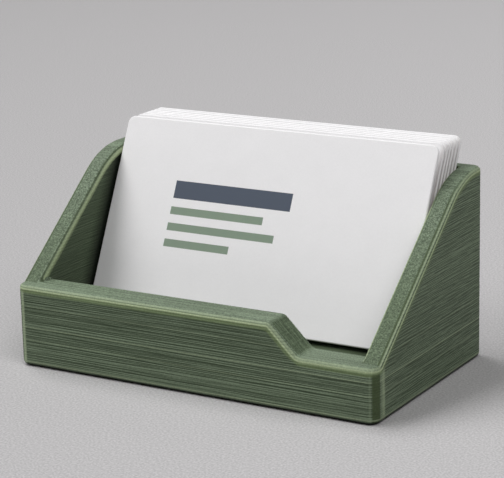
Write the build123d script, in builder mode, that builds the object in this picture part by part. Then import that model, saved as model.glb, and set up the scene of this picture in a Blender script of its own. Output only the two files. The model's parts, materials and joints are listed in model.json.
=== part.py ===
"""Desk stand for business cards: a one-piece printed holder with a thumb notch, and the cards leaning in it.

Millimetres, +Z up. The origin is the middle of the holder's underside, -Y is its front and +X its right.
"""

import os
from math import atan2, cos, hypot, radians, sin, tan

from build123d import *

# Cards: thick stock with rounded corners, leaning back in a loose row with uneven gaps, front card first
card_width = 88.9
card_height = 50.8
card_thickness = 0.8
card_corner_radius = 2.0
card_lean = 25.9
card_gap = 0.92
gap_shares = (2.2, 1.0, 0.8, 0.8, 1.1, 0.9)

# Room that the cards have in the holder
card_side_clearance = 0.3
card_rest_clearance = 0.2
card_floor_clearance = 0.2

# Holder: its depth and height, its walls, and the lip's two heights counted up from the floor of the pocket
depth = 58.8
height = 48.6
side_wall = 5.1
back_wall = 3.7
floor_height = 9.4
lip_thickness = 8.6
low_lip_rise = 4.3
notch_drop = 7.3

# Thumb notch in the lip, measured from the right wall, and the shallow recess under the cards behind it
notch_width = 22.4
notch_run = 7.4
notch_round = 2.2
recess_width = 30.0
recess_reach = 5.0
recess_depth = 0.8

# Roundings: outside corners, outer and inner rims, foot and crest of the slanted edges, and the base's bevel
corner_radius = 2.7
edge_round = 1.1
inner_round = 0.85
crease_round = 0.8
crest_run = 8.0
base_chamfer = 0.4

# Places that follow from the sizes
tolerance = 0.001
lean = radians(card_lean)
inner_width = card_width + 2 * card_side_clearance
width = inner_width + 2 * side_wall
front = -depth / 2
back = depth / 2
lip_back = front + lip_thickness
low_lip_height = floor_height + low_lip_rise
lip_height = low_lip_height + notch_drop
notch_top = inner_width / 2 - notch_width
rest_top = back - back_wall
slant_start = front + corner_radius + crease_round / 2
slant = atan2(height - low_lip_height, rest_top - crest_run - slant_start)
crest_radius = crest_run / tan(slant / 2)
card_count = len(gap_shares) + 1
card_foot = floor_height + card_floor_clearance
stack_depth = card_rest_clearance + card_gap * sum(gap_shares) + card_thickness * card_count


def rest_place(z):
    """Y of the back rest's face at a height."""
    return rest_top - (height - z) * tan(lean)


def outside(point):
    """Distance of a point from the holder's rounded outline in plan, zero on its outer wall."""
    side = abs(point.X) - (width / 2 - corner_radius)
    end = abs(point.Y) - (depth / 2 - corner_radius)
    return hypot(max(side, 0), max(end, 0)) + min(max(side, end), 0) - corner_radius


def is_near(value, target):
    """True where two lengths are the same."""
    return abs(value - target) < tolerance


def is_upright(edge):
    """True for an edge that runs straight up."""
    return is_near(abs((edge % 0.5).Z), 1)


def is_corner(edge):
    """True for the upright edges at the holder's outside corners."""
    return is_upright(edge) and is_near(abs((edge @ 0.5).X), width / 2)


def is_wall_edge(edge):
    """True for the inner top edges of the side walls: the slant, the crest and the level stretch behind it."""
    middle = edge @ 0.5
    foot_height = lip_height if middle.X < 0 else low_lip_height
    on_wall = is_near(abs(middle.X), inner_width / 2) and middle.Z > foot_height + tolerance
    return on_wall and not is_near(middle.Y, rest_place(middle.Z))


def is_crease(edge):
    """True for the foot of each slanted edge, where it leaves the level front of its wall."""
    middle = edge @ 0.5
    across = is_near(abs((edge % 0.5).X), 1)
    return across and is_near(middle.Y, slant_start) and middle.Z > low_lip_height - tolerance


def is_outer_rim(edge):
    """True for the edges all round the outside where the outer wall meets the top."""
    middle = edge @ 0.5
    return is_near(outside(middle), 0) and middle.Z > tolerance and not is_upright(edge)


def is_lip_edge(edge):
    """True for the inner top edge of the lip, through the notch."""
    middle = edge @ 0.5
    on_face = is_near(middle.Y, lip_back) and abs(middle.X) < inner_width / 2 - tolerance
    return on_face and middle.Z > low_lip_height - tolerance


os.makedirs("parts", exist_ok=True)

# Holder: side walls, lip, floor and back rest in one piece
with BuildPart() as holder:
    # Side walls: upright front, slanted edge and rounded crest, the left one starting at the full lip
    for wall_left, foot_height in ((-width / 2, lip_height), (inner_width / 2, low_lip_height)):
        with BuildSketch(Plane.YZ.offset(wall_left)):
            with BuildLine():
                FilletPolyline(
                    (front, 0),
                    (front, foot_height),
                    (slant_start, foot_height),
                    (slant_start + (height - foot_height) / tan(slant), height),
                    (back, height),
                    (back, 0),
                    radius=(0, 0, 0, crest_radius, 0, 0),
                    close=True,
                )
            make_face()
        extrude(amount=side_wall)

    # Lip: full height at the left, low from the thumb notch to the right wall
    with BuildSketch(Plane.XZ.offset(-front)):
        with BuildLine():
            FilletPolyline(
                (-inner_width / 2, 0),
                (-inner_width / 2, lip_height),
                (notch_top, lip_height),
                (notch_top + notch_run, low_lip_height),
                (inner_width / 2, low_lip_height),
                (inner_width / 2, 0),
                radius=(0, 0, notch_round, notch_round, 0, 0),
                close=True,
            )
        make_face()
    extrude(amount=-lip_thickness)

    # Floor, and the back rest that leans with the cards in front of an upright back
    with BuildSketch(Plane.YZ.offset(-inner_width / 2)):
        with BuildLine():
            Polyline(
                (front, 0),
                (front, floor_height),
                (rest_place(floor_height), floor_height),
                (rest_top, height),
                (back, height),
                (back, 0),
                close=True,
            )
        make_face()
    extrude(amount=inner_width)

    # Roundings, each after the one that it runs into
    fillet([edge for edge in holder.edges() if is_corner(edge)], radius=corner_radius)
    fillet([edge for edge in holder.edges() if is_wall_edge(edge)], radius=inner_round)
    fillet([edge for edge in holder.edges() if is_crease(edge)], radius=crease_round)
    fillet([edge for edge in holder.edges() if is_outer_rim(edge)], radius=edge_round)
    fillet([edge for edge in holder.edges() if is_lip_edge(edge)], radius=inner_round)
    chamfer(holder.faces().sort_by(Axis.Z)[0].edges(), length=base_chamfer)

    # Recess in the floor, from the lip to under the cards, so that a thumb can lift the front one
    recess_back = rest_place(card_foot) - stack_depth / cos(lean) + recess_reach
    with BuildSketch(Plane(origin=(inner_width / 2, lip_back, floor_height))):
        Rectangle(recess_width, recess_back - lip_back, align=(Align.MAX, Align.MIN))
    extrude(amount=-recess_depth, mode=Mode.SUBTRACT)

holder.part.label = "holder"
export_step(holder.part, "parts/holder.step")

# Cards: from the rearmost, which leans on the rest, to the front one, all with their feet on the floor
gaps_behind = [card_rest_clearance] + [card_gap * share for share in reversed(gap_shares)]
spacing = 0
for number, gap in zip(range(card_count, 0, -1), gaps_behind):
    spacing += gap
    foot = (0, rest_place(card_foot) - spacing / cos(lean), card_foot)
    with BuildPart() as card:
        with BuildSketch(Plane(origin=foot, x_dir=(1, 0, 0), z_dir=(0, -cos(lean), sin(lean)))):
            RectangleRounded(card_width, card_height, card_corner_radius, align=(Align.CENTER, Align.MIN))
        extrude(amount=card_thickness)
    card.part.label = f"card_{number}"
    export_step(card.part, f"parts/card_{number}.step")
    spacing += card_thickness
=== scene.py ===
"""Looks of a printed desk stand for business cards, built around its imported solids.

Metres, +Z up. The origin is the middle of the stand's underside, -Y is its front and +X its right.
"""

import json
import random
from math import atan2, floor, hypot, pi, radians
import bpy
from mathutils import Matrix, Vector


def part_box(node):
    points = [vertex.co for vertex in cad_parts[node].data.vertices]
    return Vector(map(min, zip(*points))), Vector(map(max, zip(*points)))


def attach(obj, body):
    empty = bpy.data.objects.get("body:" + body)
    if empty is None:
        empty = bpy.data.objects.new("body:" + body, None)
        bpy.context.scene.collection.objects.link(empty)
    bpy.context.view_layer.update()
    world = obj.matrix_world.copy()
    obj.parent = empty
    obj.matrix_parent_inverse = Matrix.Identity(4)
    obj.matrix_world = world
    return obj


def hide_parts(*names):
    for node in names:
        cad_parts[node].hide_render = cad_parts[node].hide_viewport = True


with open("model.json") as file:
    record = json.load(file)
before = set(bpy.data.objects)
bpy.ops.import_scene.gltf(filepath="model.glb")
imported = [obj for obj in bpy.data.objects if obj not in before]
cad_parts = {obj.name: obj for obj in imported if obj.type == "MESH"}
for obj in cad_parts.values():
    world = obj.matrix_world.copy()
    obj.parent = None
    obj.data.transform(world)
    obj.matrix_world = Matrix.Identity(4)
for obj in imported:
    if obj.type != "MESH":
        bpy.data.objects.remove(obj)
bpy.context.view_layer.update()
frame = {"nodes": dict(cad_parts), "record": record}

from types import SimpleNamespace

import bpy
from bpy.props import FloatProperty, FloatVectorProperty, IntProperty, PointerProperty
from mathutils import Vector, noise
from mathutils.bvhtree import BVHTree

bl_info = {
    "name": "Business Card Stand",
    "version": (1, 0, 0),
    "blender": (4, 5, 0),
    "location": "3D View > Sidebar > Card Stand",
    "description": "Printed holder, cards and studio of a business card stand",
    "category": "Object",
}

HOLDER_LOW, HOLDER_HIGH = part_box("holder")
CARD_NODES = sorted(name for name in frame["nodes"] if name.startswith("card_"))
FRONT_CARD = CARD_NODES[0]
REAR_CARD = CARD_NODES[-1]

# Directions: the stand's own, then up along a card's lean and out of its front
RIGHT = Vector((1, 0, 0))
BACK = Vector((0, 1, 0))
UP = Vector((0, 0, 1))
LEAN = Vector(frame["record"]["behaviour"]["joints"][0]["axis"]).normalized()
FACING = RIGHT.cross(LEAN)
STACK_FRONT = max(vertex.co.dot(FACING) for vertex in frame["nodes"][FRONT_CARD].data.vertices)

# Meshing: the distance at which points merge, and the angles of flat, smooth and cut edges
MERGE_DISTANCE = 1e-6
FLAT_ANGLE = radians(0.2)
SMOOTH_ANGLE = radians(50)
CUT_ANGLE = radians(60)
SOFT_SEGMENTS = 3

# Telling faces apart: limits on the parts of their directions, and shares of the holder's width and height
NO_TILT = 0.02
TOP_LIFT = 0.6
LEVEL_LIFT = 0.999
STEEP_LIFT = 0.5
SIDEWAYS = 0.9
FRONTWARD = 0.99
TOWARDS = 0.5
LIP_SHARE = 0.85
WALL_TOP_SHARE = 0.9
FLOOR_SHARE = 0.25

# Marks that the holder's mesh carries for its material: the way down a rounded edge, the way round an upright
# corner, how slanted and how notched a top is, and whether a wall is in the pocket and beside the cards
EDGE_MARKS = ("rim", "turn", "slant", "notch", "pocket", "side")

# Value of the rim mark at the foot of a rounding, and of the turn mark where an upright corner ends
RIM_BORDER = 0.6
CORNER_END = 0.75

# Slopes at which the slant and notch marks are full, and how many edge zones and inner roundings they reach
FULL_SLANT = 0.22
FULL_NOTCH = 0.3
SLANT_REACH = 3
INNER_REACH = 1.6

# Power that draws the marks on the right wall's inner edge up towards its top
INNER_DRAW = 0.35

# Planes count as one where their numbers, in millimetres for the place, agree to so many digits
PLANE_DIGITS = 3
MM_PER_METRE = 1000

# Layers: the first one with a bead, the shares of its height that get points, and the share that is its seam
FIRST_BEAD = 2
BEAD_SHARES = (0, 0.2, 0.5, 0.8)
SEAM_SHARE = 0.02

# Strays of the layers: their grain along a layer, the step between layers, and their level and swing
STRAY_GRAIN = 60
STRAY_STEP = 3.7
STRAY_LEVEL = 0.8
STRAY_SWING = 0.5

# Bow of a card: the least share of the most, and the share at a card's foot
LEAST_BOW = 0.4
FOOT_BOW = 0.3

# Numbers of the inks among the front card's materials
HEADING_INK = 1
LINE_INK = 2

# Camera's sensor width in millimetres and nearest distance, and the point that the lamps look at
SENSOR_WIDTH = 36
NEAREST_VIEW = 0.01
LAMP_AIM = Vector((0, 0, 0.02))


def length(name, description, default):
    """Property for a size in metres."""
    return FloatProperty(
        name=name, description=description, default=default, min=0, unit="LENGTH", precision=6
    )


def colour(name, description, default):
    """Property for a linear colour."""
    return FloatVectorProperty(
        name=name, description=description, default=default, size=3, min=0, max=1, subtype="COLOR"
    )


def place(name, description, default):
    """Property for a point in metres."""
    return FloatVectorProperty(
        name=name, description=description, default=default, size=3, unit="LENGTH", precision=5
    )


def power(name, description, default):
    """Property for a lamp's power."""
    return FloatProperty(name=name, description=description, default=default, min=0, unit="POWER")


class PrintSettings(bpy.types.PropertyGroup):
    """Sizes and colours of the printed holder."""

    layer: length("Layer", "Height of one printed layer", 0.0007)
    groove: length("Groove", "Depth of the groove between two layers", 0.00006)
    wander: length("Wander", "How far a layer's wall strays inward", 0.00004)
    station: length("Station", "Spacing of the points along a layer", 0.004)
    seed: IntProperty(name="Seed", description="Start of the layers' random strays", default=7)
    edge_zone: length("Edge Zone", "How far in from a wall its rounded edges reach", 0.0012)
    rim_band: length("Rim Band", "Width of the warm strip under a rounded edge", 0.001)
    corner_radius: length("Corner Radius", "Rounding of the upright corners", 0.0027)
    corner_reach: length("Corner Reach", "How far a corner's marks run along a side wall", 0.0026)
    inner_round: length("Inner Round", "Rounding of the side walls' inner edges", 0.00085)
    foot_round: length("Foot Round", "Height at which the walls start to turn in at the foot", 0.0011)
    foot_turn: length("Foot Turn", "How far the walls turn in at the foot", 0.00025)
    foot_gap: length("Foot Gap", "Height of the shadow gap under the walls", 0.0006)
    foot_inset: length("Foot Inset", "How far the underside stands back under the walls", 0.003)
    # Painted highlight along the foot and painted shadow under it, where the walls turn in
    foot_line: length("Foot Line", "Top of the pale line along the foot", 0.00155)
    painted_foot_shade: colour("Foot Dark", "Colour of the walls' turned-in foot", (0.018, 0.025, 0.014))
    line_places: FloatVectorProperty(
        name="Line Places",
        description="Heights of the long lines round the holder",
        default=(0.00686, 0.01015, 0.01548),
        unit="LENGTH",
        precision=5,
    )
    line_strengths: FloatVectorProperty(
        name="Line Strengths",
        description="How clear each long line is",
        default=(0.6, 1.0, 0.6),
        min=0,
        max=1,
    )
    line_reach: length("Line Reach", "From the middle of a long line to its pale and dark edges", 0.00018)
    dark_streak: colour("Dark Streak", "Colour of a dark run of plastic", (0.070, 0.098, 0.058))
    pale_streak: colour("Pale Streak", "Colour of a pale run of plastic", (0.270, 0.345, 0.238))
    # Painted shade: the walls are darker than the tops, for the lower light on them and their grooves' shade
    painted_wall_shade: colour("Wall Shade", "Tint of the grooved walls against the tops", (0.81, 0.82, 0.79))
    # Painted shade: the walls inside the pocket are darkened, for the shade in the recess
    painted_pocket_shade: colour("Pocket Shade", "Tint of the walls inside the pocket", (0.60, 0.62, 0.56))
    # Painted shade: the slanted edges darken for their stepped layers' shade, less so high up, painted
    # lighter there
    painted_slant_shade: colour("Slant Shade", "Tint of the slanted edges' layers", (0.70, 0.735, 0.65))
    slant_low: length("Slant Low", "Height up to which the slanted edges have their full tint", 0.024)
    slant_high: length("Slant High", "Height from which the slanted edges have little tint", 0.042)
    # Painted highlights: the pale lines along rounded edges, upright corners, the long lines and the foot
    rim: colour("Rim", "Colour of the fine pale lines along a rounded edge", (0.420, 0.510, 0.330))
    rim_light: colour("Rim Light", "Colour of the lower pale line on a rounded edge", (0.500, 0.600, 0.360))
    # Painted shadow: the side walls darken beside the cards and a little in front of them, for the gap's
    # shade
    gap_shade_reach: length("Rub Reach", "How far the cards' rub marks reach in front of them", 0.0052)
    gap_shade_full: length("Rub Full", "How far in front of the cards the rub marks are full", 0.0006)
    painted_gap_shade: colour("Rub", "Colour of the cards' rub marks on the side walls", (0.005, 0.008, 0.004))
    warm: colour("Warm", "Colour of the warm strip under a rounded edge", (0.225, 0.300, 0.142))
    # Painted shade: the dark of an upright corner's band and of the lines across rounded edges
    corner: colour("Corner", "Colour of an upright corner", (0.068, 0.097, 0.042))


class CardSettings(bpy.types.PropertyGroup):
    """Sizes and colours of the cards."""

    softness: length("Softness", "Rounding of a card's cut edges", 0.00036)
    bow: length("Bow", "Most that the middle of a card stands forward", 0.0002)
    seed: IntProperty(name="Seed", description="Start of the cards' random bows", default=3)
    station: length("Station", "Spacing of the points over a card", 0.008)
    bar_left: FloatProperty(
        name="Bar Left",
        description="Left end of the bars from the card's middle",
        default=-0.026,
        unit="LENGTH",
    )
    heading_foot: length("Heading Foot", "Height of the heading bar above the card's foot", 0.0305)
    heading_height: length("Heading Height", "Height of the heading bar", 0.0046)
    heading_length: length("Heading Length", "Length of the heading bar", 0.034)
    line_height: length("Line Height", "Height of a line bar", 0.0020)
    line_pitch: length("Line Pitch", "Step from one line bar down to the next", 0.0042)
    line_lengths: FloatVectorProperty(
        name="Line Lengths",
        description="Lengths of the line bars",
        default=(0.027, 0.031, 0.019),
        unit="LENGTH",
    )
    paper: colour("Paper", "Colour of the card stock", (0.95, 0.94, 0.95))
    # Painted shade: covered faces of the cards darken along their sides, for the shadow in the gaps between
    # cards
    painted_gap_shade: colour("Rub", "Tint of the rubbed sides of a card that another one covers", (0.40, 0.36, 0.34))
    gap_shade_width: length("Rub Width", "Width of a rubbed side", 0.0013)
    gap_shade_foot: length("Rub Foot", "Height at which the rubbed sides start", 0.024)
    gap_shade_head: length("Rub Head", "Height at which the rubbed sides end", 0.056)
    slate: colour("Slate Ink", "Colour of the heading bar", (0.052, 0.070, 0.105))
    sage: colour("Sage Ink", "Colour of the line bars", (0.225, 0.300, 0.222))


class StudioSettings(bpy.types.PropertyGroup):
    """Sizes, colours and lights of the studio."""

    floor_size: length("Floor Size", "Side of the square floor", 2.4)
    backdrop: colour("Backdrop", "Colour of the surroundings past the floor", (0.585, 0.573, 0.579))
    # Painted light and shade: the floor is darker at the left and lighter at the right, as the light falls on
    # it
    floor_painted_shade: colour("Floor Dark", "Colour of the floor at the left", (0.529, 0.518, 0.523))
    floor_painted_light: colour("Floor Light", "Colour of the floor at the right", (0.659, 0.645, 0.652))
    floor_reach: length("Floor Reach", "How far from the middle the floor's colour changes", 0.15)
    floor_right: FloatVectorProperty(
        name="Floor Right",
        description="Way along which the floor gets lighter",
        default=(0.862, 0.507, 0.0),
        size=3,
    )
    lamp_size: length("Lamp Size", "Side of each square lamp", 1.2)
    left_place: place("Left Place", "Place of the main lamp, at the left", (-0.985, 0.174, 1.732))
    left_power: power("Left Power", "Power of the main lamp", 22.2)
    front_place: place("Front Place", "Place of the lamp at the front left", (-1.000, -1.000, 1.414))
    front_power: power("Front Power", "Power of the lamp at the front left", 14.4)
    right_place: place("Right Place", "Place of the lamp at the right", (0.994, -0.574, 1.638))
    right_power: power("Right Power", "Power of the lamp at the right", 17.4)
    fill: FloatProperty(name="Fill", description="Strength of the light all round", default=0.03, min=0)
    lens: FloatProperty(name="Lens", description="Focal length", default=143.58, unit="CAMERA")
    eye: place("Eye", "Place of the camera", (0.24530, -0.40956, 0.15907))
    turn: FloatVectorProperty(
        name="Turn",
        description="Turns of the camera",
        default=(radians(75.00), radians(1.295), radians(30.46)),
        size=3,
        subtype="EULER",
    )


def fill_socket(tree, socket, value):
    """Links a socket to another one, or gives it a plain value."""
    if isinstance(value, bpy.types.NodeSocket):
        tree.links.new(value, socket)
    else:
        socket.default_value = value


def add_node(tree, kind, options=None, **inputs):
    """Adds a shader node, sets its options and fills its named inputs with values or links."""
    node = tree.nodes.new(kind)
    for name, value in (options or {}).items():
        setattr(node, name, value)
    for name, value in inputs.items():
        fill_socket(tree, node.inputs[name.replace("_", " ")], value)
    return node


def add_mix(tree, factor, first, second, blend="MIX"):
    """Adds a colour mix and returns its result."""
    node = add_node(tree, "ShaderNodeMix", {"data_type": "RGBA", "blend_type": blend})
    for socket, value in zip((node.inputs[0], node.inputs[6], node.inputs[7]), (factor, first, second)):
        fill_socket(tree, socket, value)
    return node.outputs[2]


def add_blend(tree, factor, first, second):
    """Adds a mix of two values and returns its result."""
    node = add_node(tree, "ShaderNodeMix", {"data_type": "FLOAT"})
    for socket, value in zip((node.inputs[0], node.inputs[2], node.inputs[3]), (factor, first, second)):
        fill_socket(tree, socket, value)
    return node.outputs[0]


def add_math(tree, operation, *values):
    """Adds a math node and returns its result."""
    node = add_node(tree, "ShaderNodeMath", {"operation": operation})
    for socket, value in zip(node.inputs, values):
        fill_socket(tree, socket, value)
    return node.outputs[0]


def add_product(tree, product, *values):
    """Multiplies values and returns the result."""
    for value in values:
        product = add_math(tree, "MULTIPLY", product, value)
    return product


def blend_sum(tree, *parts, level=0.0):
    """Adds up values, each with its own weight, on top of a plain level."""
    total = level
    for value, weight in parts:
        total = add_math(tree, "MULTIPLY_ADD", value, weight, total)
    return total


def add_range(tree, value, low, high, to_low=0.0, to_high=1.0):
    """Adds a range that takes a value from between two ends to between two others."""
    node = add_node(
        tree, "ShaderNodeMapRange", Value=value, From_Min=low, From_Max=high, To_Min=to_low, To_Max=to_high
    )
    return node.outputs["Result"]


def add_dot(tree, spot, direction):
    """Adds how far along a direction a place lies."""
    node = add_node(tree, "ShaderNodeVectorMath", {"operation": "DOT_PRODUCT"})
    fill_socket(tree, node.inputs[0], spot)
    fill_socket(tree, node.inputs[1], direction)
    return node.outputs["Value"]


def add_ramp(tree, value, *stops):
    """Adds a ramp that turns a value into greys and returns its result."""
    node = add_node(tree, "ShaderNodeValToRGB", Fac=value)
    elements = node.color_ramp.elements
    while len(elements) < len(stops):
        elements.new(1)
    for element, (position, grey) in zip(elements, stops):
        element.position = position
        element.color = (grey, grey, grey, 1)
    return node.outputs["Color"]


def add_attribute(tree, name):
    """Adds the value of a mark that the mesh carries."""
    return add_node(tree, "ShaderNodeAttribute", {"attribute_name": name}).outputs["Fac"]


def add_spot(tree):
    """Adds the place on the piece."""
    return add_node(tree, "ShaderNodeTexCoord").outputs["Object"]


# Noise: the roughness of its detail, and the ends between which most of its values lie
NOISE_ROUGHNESS = 0.6
NOISE_ENDS = (0.3, 0.7)


def add_noise(tree, spot, scale, detail, rise=0.0):
    """Adds noise with its own scale along each axis, from 0 to 1, raised by a share of its grain."""
    mapping = add_node(tree, "ShaderNodeMapping", Vector=spot, Location=(0, 0, rise), Scale=scale)
    pattern = add_node(
        tree,
        "ShaderNodeTexNoise",
        Vector=mapping.outputs["Vector"],
        Scale=1.0,
        Detail=detail,
        Roughness=NOISE_ROUGHNESS,
    )
    return pattern.outputs["Fac"]


def add_bump(tree, shader, relief, strength, depth):
    """Gives a shader a fine relief."""
    bump = add_node(tree, "ShaderNodeBump", Strength=strength, Distance=depth, Height=relief)
    tree.links.new(bump.outputs["Normal"], shader.inputs["Normal"])


def opaque(rgb):
    """Colour with full alpha."""
    return (*rgb, 1)


def new_material(name, rgb, roughness):
    """Starts a material with its plain colour and returns it with its tree and shader."""
    material = bpy.data.materials.new(name)
    material.use_nodes = True
    material.diffuse_color = opaque(rgb)
    shader = material.node_tree.nodes["Principled BSDF"]
    shader.inputs["Base Color"].default_value = opaque(rgb)
    shader.inputs["Roughness"].default_value = roughness
    return material, material.node_tree, shader


# Fine tooth: its detail, and its scale and contrast on each material
TOOTH_DETAIL = 3.0
PLASTIC_TOOTH = (2700.0, 0.26)
PAPER_TOOTH = (2600.0, 0.03)
FLOOR_TOOTH = (1900.0, 0.34)


def tooth_group():
    """Node group of a fine tooth: a shade just under white, and a height, both grainy."""
    name = "fine_tooth"
    if name in bpy.data.node_groups:
        return bpy.data.node_groups[name]
    group = bpy.data.node_groups.new(name, "ShaderNodeTree")
    for label, default in zip(("Scale", "Contrast"), PAPER_TOOTH):
        socket = group.interface.new_socket(label, in_out="INPUT", socket_type="NodeSocketFloat")
        socket.default_value = default
    group.interface.new_socket("Shade", in_out="OUTPUT", socket_type="NodeSocketColor")
    group.interface.new_socket("Height", in_out="OUTPUT", socket_type="NodeSocketFloat")
    inputs = group.nodes.new("NodeGroupInput").outputs
    pattern = add_node(
        group, "ShaderNodeTexNoise", Vector=add_spot(group), Scale=inputs["Scale"], Detail=TOOTH_DETAIL
    )
    grain = pattern.outputs["Fac"]
    darkest = add_math(group, "SUBTRACT", 1.0, inputs["Contrast"])
    grey = add_range(group, grain, *NOISE_ENDS, darkest, 1.0)
    shade = add_node(group, "ShaderNodeCombineColor", Red=grey, Green=grey, Blue=grey)
    ends = group.nodes.new("NodeGroupOutput").inputs
    group.links.new(shade.outputs["Color"], ends["Shade"])
    group.links.new(grain, ends["Height"])
    return group


def add_tooth(tree, scale, contrast):
    """Places the fine tooth in a material and returns its shade and height."""
    node = add_node(tree, "ShaderNodeGroup", {"node_tree": tooth_group()}, Scale=scale, Contrast=contrast)
    return node.outputs["Shade"], node.outputs["Height"]


# Plastic: its roughness, on the whole and from dark to pale streaks, its gloss, and its relief
PLASTIC_ROUGHNESS = 0.55
PLASTIC_ROUGHNESS_ENDS = (0.5, 0.65)
PLASTIC_GLOSS = 0.15
PLASTIC_BUMP = 0.6
PLASTIC_RELIEF = 0.0001

# How finely the plastic's patterns repeat along X, Y and Z, in repeats a metre
RUN_GRAIN = (34, 120, 3900)
THREAD_GRAIN = (110, 300, 6000)
CLOUD_GRAIN = (22, 22, 90)
STROKE_GRAIN = (30, 2400, 60)
ALONG_GRAIN = (6400, 1500, 1500)
STEP_GRAIN = (1700, 1700, 7200)
RIDGE_GRAIN = (260, 2900, 260)

# Share of its grain by which a run is raised and taken from itself, so that only its fine streaks are left
RUN_RISE = 0.55

# Tones of the darkest and the palest streak, and the layers' own tones over which a fine line comes in
STREAK_ENDS = (0.36, 0.64)
LINED_TONES = (0.86, 0.9)

# Strengths of the groove and of a fine line, by the distance from the seam in layers, which is half at most
HALF_LAYER = 0.5
GROOVE = ((0.04, 1), (0.17, 0))
FINE_LINE = ((0.12, 1), (0.35, 0))

# Long lines: their tone off the lines, its change at distances in reaches from a line's middle, the room
# over the top line in reaches, and the share of colour on their pale edges. The lines are the print's own;
# their pale upper edges are painted highlight and their dark lower edges painted shade, as on a lit ridge
PLAIN_TONE = 0.5
LONG_LINE_SHAPE = ((-1.8, 0), (-1, -0.5), (0, 0), (1, 0.5), (1.8, 0))
LONG_LINE_ROOM = 4
LINE_HIGHLIGHT_SHARE = 0.85

# Rim-mark stretches over which the looks of walls, pocket, slants, painted gap shade and corners come in
WALL_FADE = (0.1, 0.6)
POCKET_FADE = (0.45, 0.7)
SLANT_FADE = (0.4, 0.15)
GAP_SHADE_FADE = (0.75, 1.0)
CORNER_FADE = (0.7, 0.95)

# Shares that are left of the slanted edges' painted shade high up, and of the warm strip beside them
HIGH_SLANT_SHARE = 0.15
SLANT_STRIP_SHARE = 0.4

# Strengths of the marks across a rounded edge, by the rim mark: warm strip, painted shade and painted
# highlights
WARM_STRIP = ((0.45, 0), (0.62, 0.8), (0.88, 0.6), (0.99, 0))
SLANT_EDGE_SHADE = ((0.0, 0), (0.02, 0.85), (0.13, 0.85), (0.18, 0))
INNER_EDGE_SHADE = ((0.1, 0), (0.17, 0.7), (0.28, 0.7), (0.33, 0))
UPPER_HIGHLIGHT = ((0.15, 0), (0.26, 0.7), (0.33, 0.7), (0.38, 0.55), (0.43, 0.55), (0.48, 0))
SLANT_UPPER_HIGHLIGHT = ((0.17, 0), (0.25, 1), (0.31, 1), (0.36, 0))
LOWER_HIGHLIGHT = ((0.42, 0), (0.49, 1), (0.57, 0.95), (0.66, 0))
INNER_HIGHLIGHT = ((0.34, 0), (0.41, 0.7), (0.52, 0.95), (0.68, 0.95), (0.8, 0.5), (0.9, 0.25), (0.99, 0))

# Strengths of the painted shade band and the painted highlights across an upright corner, by the turn mark
CORNER_SHADE_BAND = ((0.27, 0), (0.34, 0.92), (0.68, 0.92), (0.76, 0))
RIGHT_CORNER_HIGHLIGHTS = ((0.14, 0), (0.22, 0.22), (0.28, 0), (0.72, 0), (0.80, 0.28), (0.92, 0.72), (0.99, 0))
LEFT_CORNER_HIGHLIGHT = ((0.03, 0), (0.10, 0.7), (0.17, 0.8), (0.25, 0.3), (0.3, 0))

# Strengths of the foot's painted highlight and of the painted shadow under it, by the share of the line's
# height
FOOT_HIGHLIGHT = ((0.66, 0), (0.76, 0.6), (0.88, 0.6), (0.98, 0))
FOOT_SHADE = ((0.48, 0.85), (0.64, 0))


def add_long_lines(tree, height, settings):
    """Adds the long lines round the holder: painted highlight on their upper and painted shade on their lower
    edges.
    """
    reach = settings.line_reach
    top = settings.line_places[-1] + LONG_LINE_ROOM * reach
    stops = []
    for middle, strength in zip(settings.line_places, settings.line_strengths):
        for offset, change in LONG_LINE_SHAPE:
            stops.append(((middle + offset * reach) / top, PLAIN_TONE + change * strength))
    return add_ramp(tree, add_math(tree, "DIVIDE", height, top), *stops)


def read_surface(tree, settings):
    """Values that the plastic's patterns follow: marks, place, height, walls and long lines."""
    surface = SimpleNamespace()
    for name in EDGE_MARKS:
        setattr(surface, name, add_attribute(tree, name))
    surface.spot = add_spot(tree)
    axes = add_node(tree, "ShaderNodeSeparateXYZ", Vector=surface.spot).outputs
    surface.across = axes["X"]
    surface.height = axes["Z"]
    surface.wall = add_range(tree, surface.rim, *WALL_FADE)
    surface.long_line = add_long_lines(tree, surface.height, settings)
    return surface


def add_streaks(tree, surface, settings):
    """Adds the walls' streaks: a tone for each layer, runs, threads, clouds, grooves and lines."""
    layers_up = add_math(tree, "DIVIDE", surface.height, settings.layer)
    number = add_math(tree, "FLOOR", layers_up)
    tone = add_node(tree, "ShaderNodeTexWhiteNoise", {"noise_dimensions": "1D"}, W=number).outputs["Value"]
    run = add_noise(tree, surface.spot, RUN_GRAIN, 0)
    raised_run = add_noise(tree, surface.spot, RUN_GRAIN, 0, RUN_RISE)
    thread = add_noise(tree, surface.spot, THREAD_GRAIN, 1)
    cloud = add_noise(tree, surface.spot, CLOUD_GRAIN, 1)
    from_seam = add_math(tree, "PINGPONG", layers_up, HALF_LAYER)
    groove = add_ramp(tree, from_seam, *GROOVE)
    lined = add_range(tree, tone, *LINED_TONES)
    fine_line = add_product(tree, add_ramp(tree, from_seam, *FINE_LINE), lined)
    # Painted shade under each long line
    line_shade = add_range(tree, surface.long_line, PLAIN_TONE, 0.0)
    return blend_sum(
        tree,
        (tone, 0.02),
        (run, 0.8),
        (raised_run, -0.8),
        (thread, 0.42),
        (groove, -0.08),
        (fine_line, 0.25),
        (cloud, 0.12),
        (line_shade, -0.24),
        level=0.225,
    )


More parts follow.
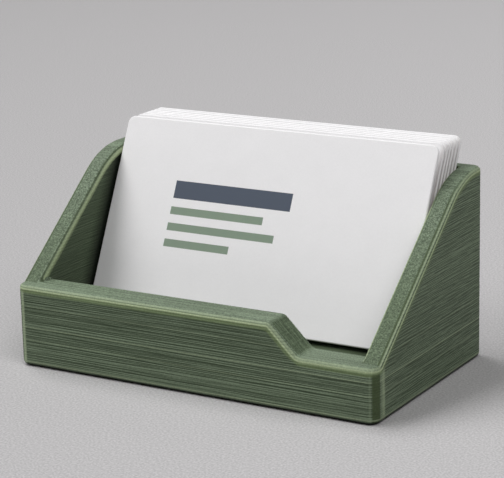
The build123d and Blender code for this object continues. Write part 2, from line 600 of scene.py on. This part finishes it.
def add_top_grain(tree, surface, grain):
    """Adds the tops' tone: strokes across, a weave of steps on the slants, and ridges down the notch."""
    stroke = add_noise(tree, surface.spot, STROKE_GRAIN, 2)
    along = add_noise(tree, surface.spot, ALONG_GRAIN, 0)
    step = add_noise(tree, surface.spot, STEP_GRAIN, 0)
    ridge = add_noise(tree, surface.spot, RIDGE_GRAIN, 1)
    strokes = blend_sum(tree, (stroke, 0.6), (grain, 0.4))
    weave = blend_sum(tree, (along, 0.38), (step, 0.34), (grain, 0.2), level=0.04)
    ridges = blend_sum(tree, (ridge, 0.5), (grain, 0.2), level=0.15)
    return add_blend(tree, surface.notch, add_blend(tree, surface.slant, strokes, weave), ridges)


def paint_wall_shade_and_highlights(tree, base, surface, settings):
    """Paints shade on the walls, a highlight on the long lines' upper edges, and shade in the pocket and
    slants.
    """
    # Painted shade on the walls against the tops
    base = add_mix(tree, surface.wall, base, opaque(settings.painted_wall_shade), "MULTIPLY")
    # Painted highlight over each long line
    line_highlight = add_range(tree, surface.long_line, PLAIN_TONE, 1.0, 0.0, LINE_HIGHLIGHT_SHARE)
    base = add_mix(tree, add_product(tree, line_highlight, surface.wall), base, opaque(settings.rim))
    # Painted shade in the pocket
    in_pocket = add_product(tree, surface.pocket, add_range(tree, surface.rim, *POCKET_FADE))
    base = add_mix(tree, in_pocket, base, opaque(settings.painted_pocket_shade), "MULTIPLY")
    # Painted shade on the slanted edges, fading towards their top
    low_down = add_range(tree, surface.height, settings.slant_low, settings.slant_high, 1.0, HIGH_SLANT_SHARE)
    on_slant = add_product(tree, surface.slant, add_range(tree, surface.rim, *SLANT_FADE), low_down)
    return add_mix(tree, on_slant, base, opaque(settings.painted_slant_shade), "MULTIPLY")


def paint_gap_shade_on_walls(tree, base, surface, settings):
    """Paints shade on the side walls beside the cards and a little in front of them, for the gap's shadow."""
    ahead = add_dot(tree, surface.spot, FACING)
    near = add_range(tree, ahead, STACK_FRONT + settings.gap_shade_reach, STACK_FRONT + settings.gap_shade_full)
    gap_shade_mask = add_product(tree, near, surface.side, add_range(tree, surface.rim, *GAP_SHADE_FADE))
    # Painted shadow in the gap between the cards' edges and the side walls
    return add_mix(tree, gap_shade_mask, base, opaque(settings.painted_gap_shade))


def paint_edge_shade_and_highlights(tree, base, surface, settings):
    """Draws the marks across a rounded edge: a warm strip, a line of painted shade and two painted
    highlights.
    """
    rim = surface.rim
    beside_slant = add_range(tree, surface.slant, 0.0, 1.0, 1.0, SLANT_STRIP_SHARE)
    strip = add_product(tree, add_ramp(tree, rim, *WARM_STRIP), beside_slant)
    base = add_mix(tree, strip, base, opaque(settings.warm))
    # Painted shade: a dark line across the rounded edge
    edge_shade = add_product(tree, surface.slant, add_ramp(tree, rim, *SLANT_EDGE_SHADE))
    edge_shade = add_blend(tree, surface.pocket, edge_shade, add_ramp(tree, rim, *INNER_EDGE_SHADE))
    base = add_mix(tree, edge_shade, base, opaque(settings.corner))
    # Painted highlights along the rounded edge
    upper = add_ramp(tree, rim, *UPPER_HIGHLIGHT)
    upper = add_blend(tree, surface.slant, upper, add_ramp(tree, rim, *SLANT_UPPER_HIGHLIGHT))
    base = add_mix(tree, add_blend(tree, surface.pocket, upper, 0.0), base, opaque(settings.rim))
    lower = add_ramp(tree, rim, *LOWER_HIGHLIGHT)
    lower = add_blend(tree, surface.pocket, lower, add_ramp(tree, rim, *INNER_HIGHLIGHT))
    return add_mix(tree, lower, base, opaque(settings.rim_light))


def paint_corner_shade_and_highlights(tree, base, surface, settings):
    """Draws the marks across an upright corner: a band of painted shade, with painted highlights beside it.
    """
    on_wall = add_range(tree, surface.rim, *CORNER_FADE)
    # Painted shade down the corner
    band = add_product(tree, add_ramp(tree, surface.turn, *CORNER_SHADE_BAND), on_wall)
    base = add_mix(tree, band, base, opaque(settings.corner))
    at_left = add_math(tree, "LESS_THAN", surface.across, 0.0)
    # Painted highlights beside it
    lines = add_ramp(tree, surface.turn, *RIGHT_CORNER_HIGHLIGHTS)
    lines = add_blend(tree, at_left, lines, add_ramp(tree, surface.turn, *LEFT_CORNER_HIGHLIGHT))
    return add_mix(tree, add_product(tree, lines, on_wall), base, opaque(settings.rim))


def paint_foot_highlight_and_shade(tree, base, surface, settings):
    """Paints a highlight along the foot, and shadow where the walls turn in under it."""
    up_foot = add_math(tree, "DIVIDE", surface.height, settings.foot_line)
    base = add_mix(tree, add_ramp(tree, up_foot, *FOOT_HIGHLIGHT), base, opaque(settings.rim))
    return add_mix(tree, add_ramp(tree, up_foot, *FOOT_SHADE), base, opaque(settings.painted_foot_shade))


def make_plastic(settings):
    """Printed plastic: streaks along the layers, grain on the tops, painted shade and highlights along
    rounded edges.
    """
    dark, pale = settings.dark_streak, settings.pale_streak
    middle = [(low + high) / 2 for low, high in zip(dark, pale)]
    material, tree, shader = new_material("printed_plastic", middle, PLASTIC_ROUGHNESS)
    shader.inputs["Specular IOR Level"].default_value = PLASTIC_GLOSS
    surface = read_surface(tree, settings)
    shade, grain = add_tooth(tree, *PLASTIC_TOOTH)

    # Tone: streaks on the walls, calmer ones in the pocket, and grain on the tops
    streak = add_streaks(tree, surface, settings)
    calm_streak = blend_sum(tree, (streak, 0.4), level=0.3)
    on_walls = add_blend(tree, surface.pocket, streak, calm_streak)
    tone = add_blend(tree, surface.wall, add_top_grain(tree, surface, grain), on_walls)

    # Colour: the tone's own, then painted shade, painted highlights and other marks, each over the ones
    # before it
    base = add_mix(tree, add_range(tree, tone, *STREAK_ENDS), opaque(dark), opaque(pale))
    for draw in (paint_wall_shade_and_highlights, paint_gap_shade_on_walls, paint_edge_shade_and_highlights, paint_corner_shade_and_highlights, paint_foot_highlight_and_shade):
        base = draw(tree, base, surface, settings)
    tree.links.new(add_mix(tree, 1.0, base, shade, "MULTIPLY"), shader.inputs["Base Color"])

    roughness = add_range(tree, tone, *NOISE_ENDS, *PLASTIC_ROUGHNESS_ENDS)
    tree.links.new(roughness, shader.inputs["Roughness"])
    add_bump(tree, shader, blend_sum(tree, (tone, 0.8), (grain, 0.5)), PLASTIC_BUMP, PLASTIC_RELIEF)
    return material


# Roughness of the card stock, the inks and the floor
PAPER_ROUGHNESS = 0.75
INK_ROUGHNESS = 0.6
FLOOR_ROUGHNESS = 0.9

# Paper: the grain, detail and shades of its clouds, and its relief
PAPER_CLOUD_GRAIN = (160, 160, 160)
PAPER_CLOUD_DETAIL = 4
PAPER_CLOUD_SHADES = (0.98, 1.0)
PAPER_BUMP = 0.3
PAPER_RELIEF = 0.00003

# Strengths of a card's painted gap shade, across its width towards the edge and from its foot to its head
GAP_SHADE_ACROSS = ((0.0, 0), (0.4, 0.6), (0.6, 1), (0.8, 1), (0.94, 0))
GAP_SHADE_UPWARD = ((0.0, 0), (0.2, 1), (0.45, 1), (1.0, 0.3))


def add_painted_gap_shade(tree, spot, settings):
    """Adds a card's painted gap shadow: along the sides of its faces that another card covers."""
    axes = add_node(tree, "ShaderNodeSeparateXYZ", Vector=spot).outputs
    half_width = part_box(FRONT_CARD)[1].x
    from_middle = add_math(tree, "ABSOLUTE", axes["X"])
    outward = add_range(tree, from_middle, half_width - settings.gap_shade_width, half_width)
    upward = add_range(tree, axes["Z"], settings.gap_shade_foot, settings.gap_shade_head)
    strip = add_product(tree, add_ramp(tree, outward, *GAP_SHADE_ACROSS), add_ramp(tree, upward, *GAP_SHADE_UPWARD))
    return add_product(tree, strip, add_attribute(tree, "covered"))


def make_paper(name, rgb, roughness, gap_shade_settings=None):
    """Uncoated card, or ink on it: a faint cloudiness and a fine tooth, and on the card painted gap shadow.
    """
    material, tree, shader = new_material(name, rgb, roughness)
    spot = add_spot(tree)
    shade, grain = add_tooth(tree, *PAPER_TOOTH)
    cloud = add_noise(tree, spot, PAPER_CLOUD_GRAIN, PAPER_CLOUD_DETAIL)
    grey = add_range(tree, cloud, *NOISE_ENDS, *PAPER_CLOUD_SHADES)
    clouded = add_node(tree, "ShaderNodeCombineColor", Red=grey, Green=grey, Blue=grey).outputs["Color"]
    base = add_mix(tree, 1.0, opaque(rgb), clouded, "MULTIPLY")
    base = add_mix(tree, 1.0, base, shade, "MULTIPLY")
    # Painted shadow of the gaps between the cards
    if gap_shade_settings:
        gap_shade_mask = add_painted_gap_shade(tree, spot, gap_shade_settings)
        base = add_mix(tree, gap_shade_mask, base, opaque(gap_shade_settings.painted_gap_shade), "MULTIPLY")
    tree.links.new(base, shader.inputs["Base Color"])
    add_bump(tree, shader, grain, PAPER_BUMP, PAPER_RELIEF)
    return material


def make_floor(settings):
    """Pale matt paper under the stand, with painted shade making it a little darker towards its left."""
    material, tree, shader = new_material("studio_floor", settings.backdrop, FLOOR_ROUGHNESS)
    shade = add_tooth(tree, *FLOOR_TOOTH)[0]
    right = add_dot(tree, add_spot(tree), settings.floor_right)
    tone = add_range(tree, right, -settings.floor_reach, settings.floor_reach)
    base = add_mix(tree, tone, opaque(settings.floor_painted_shade), opaque(settings.floor_painted_light))
    tree.links.new(add_mix(tree, 1.0, base, shade, "MULTIPLY"), shader.inputs["Base Color"])
    return material


def start_piece(name, node):
    """Copies a node's mesh into a new piece, merged, with flat faces whole, and leaves it in edit mode."""
    bpy.ops.object.select_all(action="DESELECT")
    mesh = frame["nodes"][node].data.copy()
    mesh.name = name
    mesh.materials.clear()
    piece = bpy.data.objects.new(name, mesh)
    bpy.context.scene.collection.objects.link(piece)
    piece.select_set(True)
    bpy.context.view_layer.objects.active = piece
    bpy.ops.object.mode_set(mode="EDIT")
    bpy.ops.mesh.select_all(action="SELECT")
    bpy.ops.mesh.customdata_custom_splitnormals_clear()
    bpy.ops.mesh.remove_doubles(threshold=MERGE_DISTANCE)
    bpy.ops.mesh.dissolve_limited(angle_limit=FLAT_ANGLE)
    return piece


def slice_piece(direction, places):
    """Cuts the piece in edit mode across a direction at each place along it, keeping both sides."""
    for spot in places:
        bpy.ops.mesh.select_all(action="SELECT")
        bpy.ops.mesh.bisect(plane_co=direction * spot, plane_no=direction, threshold=MERGE_DISTANCE)


def steps(low, high, spacing):
    """Places at an even spacing strictly between two ends."""
    count = max(1, round((high - low) / spacing))
    return [low + (high - low) * number / count for number in range(1, count)]


def finish_piece(piece, body, node):
    """Smooths a piece, ties it to its body and hides the node it was copied from."""
    bpy.ops.object.shade_smooth_by_angle(angle=SMOOTH_ANGLE)
    bpy.ops.object.modifier_add(type="WEIGHTED_NORMAL")
    piece.modifiers[-1].keep_sharp = True
    bpy.ops.object.modifier_apply(modifier=piece.modifiers[-1].name)
    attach(piece, body)
    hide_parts(node)


def face_kind(face, settings):
    """Says whether a face of the holder is a wall, a top or part of a rounded edge.

    The pocket's floor and the back rest count as walls, and the slanted edges and the notch as tops.
    """
    normal, middle = face.normal, face.center
    behind_front = middle.y > HOLDER_LOW.y + settings.edge_zone
    leans_back = abs(normal.x) < NO_TILT and normal.y < NO_TILT and behind_front
    on_lip = abs(normal.y) < NO_TILT and abs(middle.x) < LIP_SHARE * HOLDER_HIGH.x
    is_level = normal.z > LEVEL_LIFT
    is_floor = is_level and middle.z < FLOOR_SHARE * HOLDER_HIGH.z
    if normal.z < NO_TILT or is_floor or (leans_back and normal.z < TOP_LIFT):
        return "wall"
    if is_level or ((leans_back or on_lip) and normal.z > TOP_LIFT):
        return "top"
    return "rounding"


def corner_turn(spot, settings):
    """How far round a front corner a place lies: 0 on the front, 1 on the sides past the corner."""
    side = abs(spot.x) - (HOLDER_HIGH.x - settings.corner_radius)
    end = -spot.y - (HOLDER_HIGH.y - settings.corner_radius)
    if side <= 0:
        return 0.0
    if end > 0:
        return CORNER_END * atan2(side, end) / (pi / 2)
    return CORNER_END + (1 - CORNER_END) * min(1.0, -end / settings.corner_reach)


def is_outside(spot, settings):
    """True for a place within the edge zone of the outer walls."""
    side = abs(spot.x) - (HOLDER_HIGH.x - settings.corner_radius)
    end = abs(spot.y) - (HOLDER_HIGH.y - settings.corner_radius)
    out = hypot(max(side, 0), max(end, 0)) + min(max(side, end), 0)
    return out > settings.corner_radius - settings.edge_zone


def slant_share(normal):
    """How fully a direction is that of a slanted edge."""
    return min(1.0, (1 - abs(normal.z)) / FULL_SLANT)


def surface_tree(mesh, faces):
    """Search tree over some faces of a mesh."""
    points = [vertex.co for vertex in mesh.vertices]
    return BVHTree.FromPolygons(points, [tuple(face.vertices) for face in faces])


def corner_marks(face, kind, spot, trees, settings):
    """Marks of one corner of a face of the holder. Those that are left out are 0.

    The rim mark goes from 0 on a top to RIM_BORDER at the foot of its rounding, and on to 1 on the wall
    under the warm strip.
    """
    marks = {}
    gaps = {}
    normals = {}
    for name, tree in trees.items():
        _, normals[name], _, gaps[name] = tree.find_nearest(spot)
    inside = not is_outside(face.center, settings)
    if abs(face.normal.z) < STEEP_LIFT:
        marks["turn"] = 1.0 if face.normal.y > NO_TILT else corner_turn(spot, settings)
    if kind == "top":
        marks["slant"] = slant_share(face.normal)
        marks["notch"] = min(1.0, abs(face.normal.x) / FULL_NOTCH)
    elif not inside and gaps["wall top"] < SLANT_REACH * settings.edge_zone:
        marks["slant"] = slant_share(normals["wall top"])
    if kind == "wall":
        faces_cards = inside and abs(face.normal.x) > SIDEWAYS
        marks["pocket"] = float(inside)
        marks["side"] = float(faces_cards)
        below = gaps["rounding"]
        if faces_cards:
            radius = settings.inner_round
            below = max(gaps["wall top"] ** 2 - radius ** 2, 0) ** 0.5 - radius
        elif inside:
            below = settings.rim_band
        marks["rim"] = RIM_BORDER + (1 - RIM_BORDER) * min(1.0, max(below, 0) / settings.rim_band)
    elif kind == "rounding" and (not inside or gaps["wall top"] < INNER_REACH * settings.inner_round):
        across = gaps["top"] / max(gaps["top"] + gaps["wall"], MERGE_DISTANCE)
        marks["pocket"] = float(inside)
        marks["rim"] = RIM_BORDER * (across ** INNER_DRAW if inside and face.normal.x < 0 else across)
    return marks


def mark_edges(mesh, settings):
    """Stores on the holder's mesh where each face's corners lie across rounded edges and round corners."""
    kinds = [face_kind(face, settings) for face in mesh.polygons]
    groups = {"top": [], "wall": [], "rounding": [], "wall top": []}
    for face, kind in zip(mesh.polygons, kinds):
        groups[kind].append(face)
        if kind == "top" and abs(face.center.x) > WALL_TOP_SHARE * HOLDER_HIGH.x:
            groups["wall top"].append(face)
    trees = {name: surface_tree(mesh, faces) for name, faces in groups.items()}
    values = {name: [0.0] * len(mesh.loops) for name in EDGE_MARKS}
    for face, kind in zip(mesh.polygons, kinds):
        for corner in face.loop_indices:
            spot = mesh.vertices[mesh.loops[corner].vertex_index].co
            for name, value in corner_marks(face, kind, spot, trees, settings).items():
                values[name][corner] = value
    for name in EDGE_MARKS:
        mesh.attributes.new(name, "FLOAT", "CORNER").data.foreach_set("value", values[name])


def rim_planes(mesh, settings):
    """Planes under the holder's tops, where the warm strips end: each one's normal and place along it."""
    planes = {}
    for face in mesh.polygons:
        if face_kind(face, settings) == "top":
            offset = face.normal.dot(face.center) - settings.edge_zone - settings.rim_band
            key = tuple(round(value, PLANE_DIGITS) for value in (*face.normal, offset * MM_PER_METRE))
            planes[key] = (face.normal.copy(), offset)
    return list(planes.values())


def carve_layers(mesh, settings):
    """Rounds each layer's wall into a bead that strays inward by its own amount, and turns the foot in."""
    layer = settings.layer
    rng = random.Random(settings.seed)
    count = int(HOLDER_HIGH.z / layer) + 2
    strays = [0.0] + [rng.random() for number in range(count)]
    normals = [vertex.normal.copy() for vertex in mesh.vertices]

    def stray(number, spot):
        """Inward stray of one layer at a place along it."""
        run = noise.noise(Vector((spot.x * STRAY_GRAIN, spot.y * STRAY_GRAIN, number * STRAY_STEP)))
        return settings.wander * strays[number] * (STRAY_LEVEL + STRAY_SWING * run)

    for vertex, normal in zip(mesh.vertices, normals):
        steep = hypot(normal.x, normal.y)
        spot = vertex.co.copy()
        number = floor(spot.z / layer + SEAM_SHARE / 2)
        part = spot.z / layer - number
        inward = stray(number, spot)
        if part <= SEAM_SHARE:
            inward = (inward + stray(max(number - 1, 0), spot)) / 2
        depth = settings.groove * (1 - 2 * part) ** 2 + inward
        if number > 0 and normal.z > -STEEP_LIFT:
            vertex.co = spot - normal * depth * steep
        elif spot.z > MERGE_DISTANCE:
            vertex.co = spot - Vector((normal.x, normal.y, 0)).normalized() * settings.foot_turn
            vertex.co.z = settings.foot_gap
        else:
            vertex.co.x *= 1 - settings.foot_inset / HOLDER_HIGH.x
            vertex.co.y *= 1 - settings.foot_inset / HOLDER_HIGH.y


class CARDSTAND_OT_printed_holder(bpy.types.Operator):
    """Printed holder with its layers"""

    bl_idname = "card_stand.printed_holder"
    bl_label = "Printed Holder"
    bl_options = {"REGISTER", "UNDO"}

    def execute(self, context):
        settings = context.scene.card_stand_print
        low, high = HOLDER_LOW, HOLDER_HIGH
        piece = start_piece("printed_holder", "holder")

        # Cuts where the marks of corners and rounded edges end, so that the marks can be stored there
        corner_end = high.y - settings.corner_radius - settings.corner_reach
        slice_piece(BACK, (-corner_end,))
        bpy.ops.object.mode_set(mode="OBJECT")
        planes = rim_planes(piece.data, settings)
        bpy.ops.object.mode_set(mode="EDIT")
        for normal, offset in planes:
            slice_piece(normal, (offset,))
        bpy.ops.object.mode_set(mode="OBJECT")
        mark_edges(piece.data, settings)

        # Fine cuts along and across the layers, which carry the marks on, and the beads
        bpy.ops.object.mode_set(mode="EDIT")
        slice_piece(RIGHT, steps(low.x, high.x, settings.station))
        slice_piece(BACK, steps(low.y, high.y, settings.station))
        slice_piece(UP, (settings.foot_round,))
        for number in range(FIRST_BEAD, int(high.z / settings.layer) + 1):
            slice_piece(UP, [settings.layer * (number + share) for share in BEAD_SHARES])
        bpy.ops.object.mode_set(mode="OBJECT")
        carve_layers(piece.data, settings)
        piece.data.materials.append(make_plastic(settings))
        finish_piece(piece, "holder", "holder")
        return {"FINISHED"}


class CARDSTAND_OT_cards(bpy.types.Operator):
    """Cards that lean in the holder, the front one printed with plain bars"""

    bl_idname = "card_stand.cards"
    bl_label = "Cards"
    bl_options = {"REGISTER", "UNDO"}

    def execute(self, context):
        settings = context.scene.card_stand_cards
        paper = make_paper("card_stock", settings.paper, PAPER_ROUGHNESS, settings)
        slate = make_paper("slate_ink", settings.slate, INK_ROUGHNESS)
        sage = make_paper("sage_ink", settings.sage, INK_ROUGHNESS)
        rng = random.Random(settings.seed)
        for node in CARD_NODES:
            is_printed = node == FRONT_CARD
            piece = start_piece(f"paper_{node}", node)
            self.soften(settings)
            bars = self.bars(settings) if is_printed else []
            low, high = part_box(node)
            heights = [vertex.co.dot(LEAN) for vertex in frame["nodes"][node].data.vertices]
            foot, head = min(heights), max(heights)
            slice_piece(RIGHT, steps(low.x, high.x, settings.station))
            slice_piece(LEAN, steps(foot, head, settings.station))
            for left, right, bottom, top, _ in bars:
                slice_piece(RIGHT, (left, right))
                slice_piece(LEAN, (foot + bottom, foot + top))
            bpy.ops.object.mode_set(mode="OBJECT")
            for material in (paper, slate, sage) if is_printed else (paper,):
                piece.data.materials.append(material)
            self.print_bars(piece.data, bars, foot)
            self.mark_covered(piece.data, node != FRONT_CARD, node != REAR_CARD)
            share = LEAST_BOW + (1 - LEAST_BOW) * rng.random()
            self.bow(piece.data, settings.bow * share, high.x, foot, head)
            finish_piece(piece, node, node)
        return {"FINISHED"}

    @staticmethod
    def soften(settings):
        """Rounds the cut edges of the card in edit mode."""
        bpy.ops.mesh.select_mode(type="EDGE")
        bpy.ops.mesh.select_all(action="DESELECT")
        bpy.ops.mesh.edges_select_sharp(sharpness=CUT_ANGLE)
        bpy.ops.mesh.bevel(offset=settings.softness, segments=SOFT_SEGMENTS, affect="EDGES")

    @staticmethod
    def bars(settings):
        """Plain bars of the print: left, right, bottom and top on the card, and the ink's number."""
        left = settings.bar_left
        bottom = settings.heading_foot
        right = left + settings.heading_length
        rows = [(left, right, bottom, bottom + settings.heading_height, HEADING_INK)]
        for number, line in enumerate(settings.line_lengths, 1):
            foot = bottom - number * settings.line_pitch
            rows.append((left, left + line, foot, foot + settings.line_height, LINE_INK))
        return rows

    @staticmethod
    def print_bars(mesh, bars, foot):
        """Gives the ink to the front faces that lie inside the bars."""
        for face in mesh.polygons:
            if face.normal.dot(FACING) > FRONTWARD:
                across, up = face.center.x, face.center.dot(LEAN) - foot
                for left, right, bottom, top, ink in bars:
                    if left < across < right and bottom < up < top:
                        face.material_index = ink

    @staticmethod
    def mark_covered(mesh, front, back):
        """Stores which faces of a card another card covers, at its front, its back or both."""
        values = []
        for face in mesh.polygons:
            facing = face.normal.dot(FACING)
            values.append(float((front and facing > TOWARDS) or (back and facing < -TOWARDS)))
        mesh.attributes.new("covered", "FLOAT", "FACE").data.foreach_set("value", values)

    @staticmethod
    def bow(mesh, most, half_width, foot, head):
        """Bows a card forward across its middle, more towards its head."""
        for vertex in mesh.vertices:
            up = (vertex.co.dot(LEAN) - foot) / (head - foot)
            across = 1 - (vertex.co.x / half_width) ** 2
            vertex.co.y -= most * across * (FOOT_BOW + (1 - FOOT_BOW) * up)


class CARDSTAND_OT_studio(bpy.types.Operator):
    """Floor, lights and camera around the stand"""

    bl_idname = "card_stand.studio"
    bl_label = "Studio"
    bl_options = {"REGISTER", "UNDO"}

    def execute(self, context):
        settings = context.scene.card_stand_studio
        bpy.ops.object.select_all(action="DESELECT")
        bpy.ops.mesh.primitive_plane_add(size=settings.floor_size)
        ground = context.object
        ground.name = "studio_floor"
        ground.data.materials.append(make_floor(settings))

        self.add_lamp("left_lamp", settings.left_place, settings.lamp_size, settings.left_power)
        self.add_lamp("front_lamp", settings.front_place, settings.lamp_size, settings.front_power)
        self.add_lamp("right_lamp", settings.right_place, settings.lamp_size, settings.right_power)
        self.set_world(settings)
        self.add_camera(settings)
        context.scene.view_settings.view_transform = "Standard"
        return {"FINISHED"}

    @staticmethod
    def add_lamp(name, spot, size, watts):
        """Adds a square lamp that looks at the stand."""
        lamp = bpy.data.lights.new(name, "AREA")
        lamp.size = size
        lamp.energy = watts
        stand = bpy.data.objects.new(name, lamp)
        stand.location = spot
        aim = LAMP_AIM - Vector(spot)
        stand.rotation_euler = aim.to_track_quat("-Z", "Y").to_euler()
        bpy.context.scene.collection.objects.link(stand)

    @staticmethod
    def set_world(settings):
        """Faint even light all round, with the backdrop's colour wherever the surroundings are seen."""
        world = bpy.data.worlds.new("studio_world")
        bpy.context.scene.world = world
        world.use_nodes = True
        tree = world.node_tree
        path = add_node(tree, "ShaderNodeLightPath").outputs
        seen = add_math(tree, "MAXIMUM", path["Is Camera Ray"], path["Is Glossy Ray"])
        seen = add_math(tree, "MAXIMUM", seen, path["Is Transmission Ray"])
        background = tree.nodes["Background"]
        light = opaque([settings.fill] * 3)
        tree.links.new(add_mix(tree, seen, light, opaque(settings.backdrop)), background.inputs["Color"])
        background.inputs["Strength"].default_value = 1.0

    @staticmethod
    def add_camera(settings):
        """Adds the camera at the front right and looks through it."""
        camera = bpy.data.cameras.new("photo_camera")
        camera.lens = settings.lens
        camera.sensor_width = SENSOR_WIDTH
        camera.clip_start = NEAREST_VIEW
        viewer = bpy.data.objects.new("photo_camera", camera)
        viewer.location = settings.eye
        viewer.rotation_euler = settings.turn
        bpy.context.scene.collection.objects.link(viewer)
        bpy.context.scene.camera = viewer


class CARDSTAND_PT_tools(bpy.types.Panel):
    """Buttons and settings of the card stand"""

    bl_idname = "CARDSTAND_PT_tools"
    bl_label = "Card Stand"
    bl_space_type = "VIEW_3D"
    bl_region_type = "UI"
    bl_category = "Card Stand"

    def draw(self, context):
        layout = self.layout
        scene = context.scene
        for operator, settings in (
            (CARDSTAND_OT_printed_holder, scene.card_stand_print),
            (CARDSTAND_OT_cards, scene.card_stand_cards),
            (CARDSTAND_OT_studio, scene.card_stand_studio),
        ):
            box = layout.box()
            box.operator(operator.bl_idname)
            for name in settings.__annotations__:
                box.prop(settings, name)


CLASSES = (
    PrintSettings,
    CardSettings,
    StudioSettings,
    CARDSTAND_OT_printed_holder,
    CARDSTAND_OT_cards,
    CARDSTAND_OT_studio,
    CARDSTAND_PT_tools,
)


def register():
    """Adds the classes and the settings."""
    for item in CLASSES:
        bpy.utils.register_class(item)
    bpy.types.Scene.card_stand_print = PointerProperty(type=PrintSettings)
    bpy.types.Scene.card_stand_cards = PointerProperty(type=CardSettings)
    bpy.types.Scene.card_stand_studio = PointerProperty(type=StudioSettings)


def unregister():
    """Takes the settings and the classes away."""
    del bpy.types.Scene.card_stand_studio
    del bpy.types.Scene.card_stand_cards
    del bpy.types.Scene.card_stand_print
    for item in reversed(CLASSES):
        bpy.utils.unregister_class(item)


def main():
    """Makes the stand piece by piece."""
    register()
    bpy.ops.card_stand.printed_holder()
    bpy.ops.card_stand.cards()
    bpy.ops.card_stand.studio()


if __name__ == "__main__":
    main()
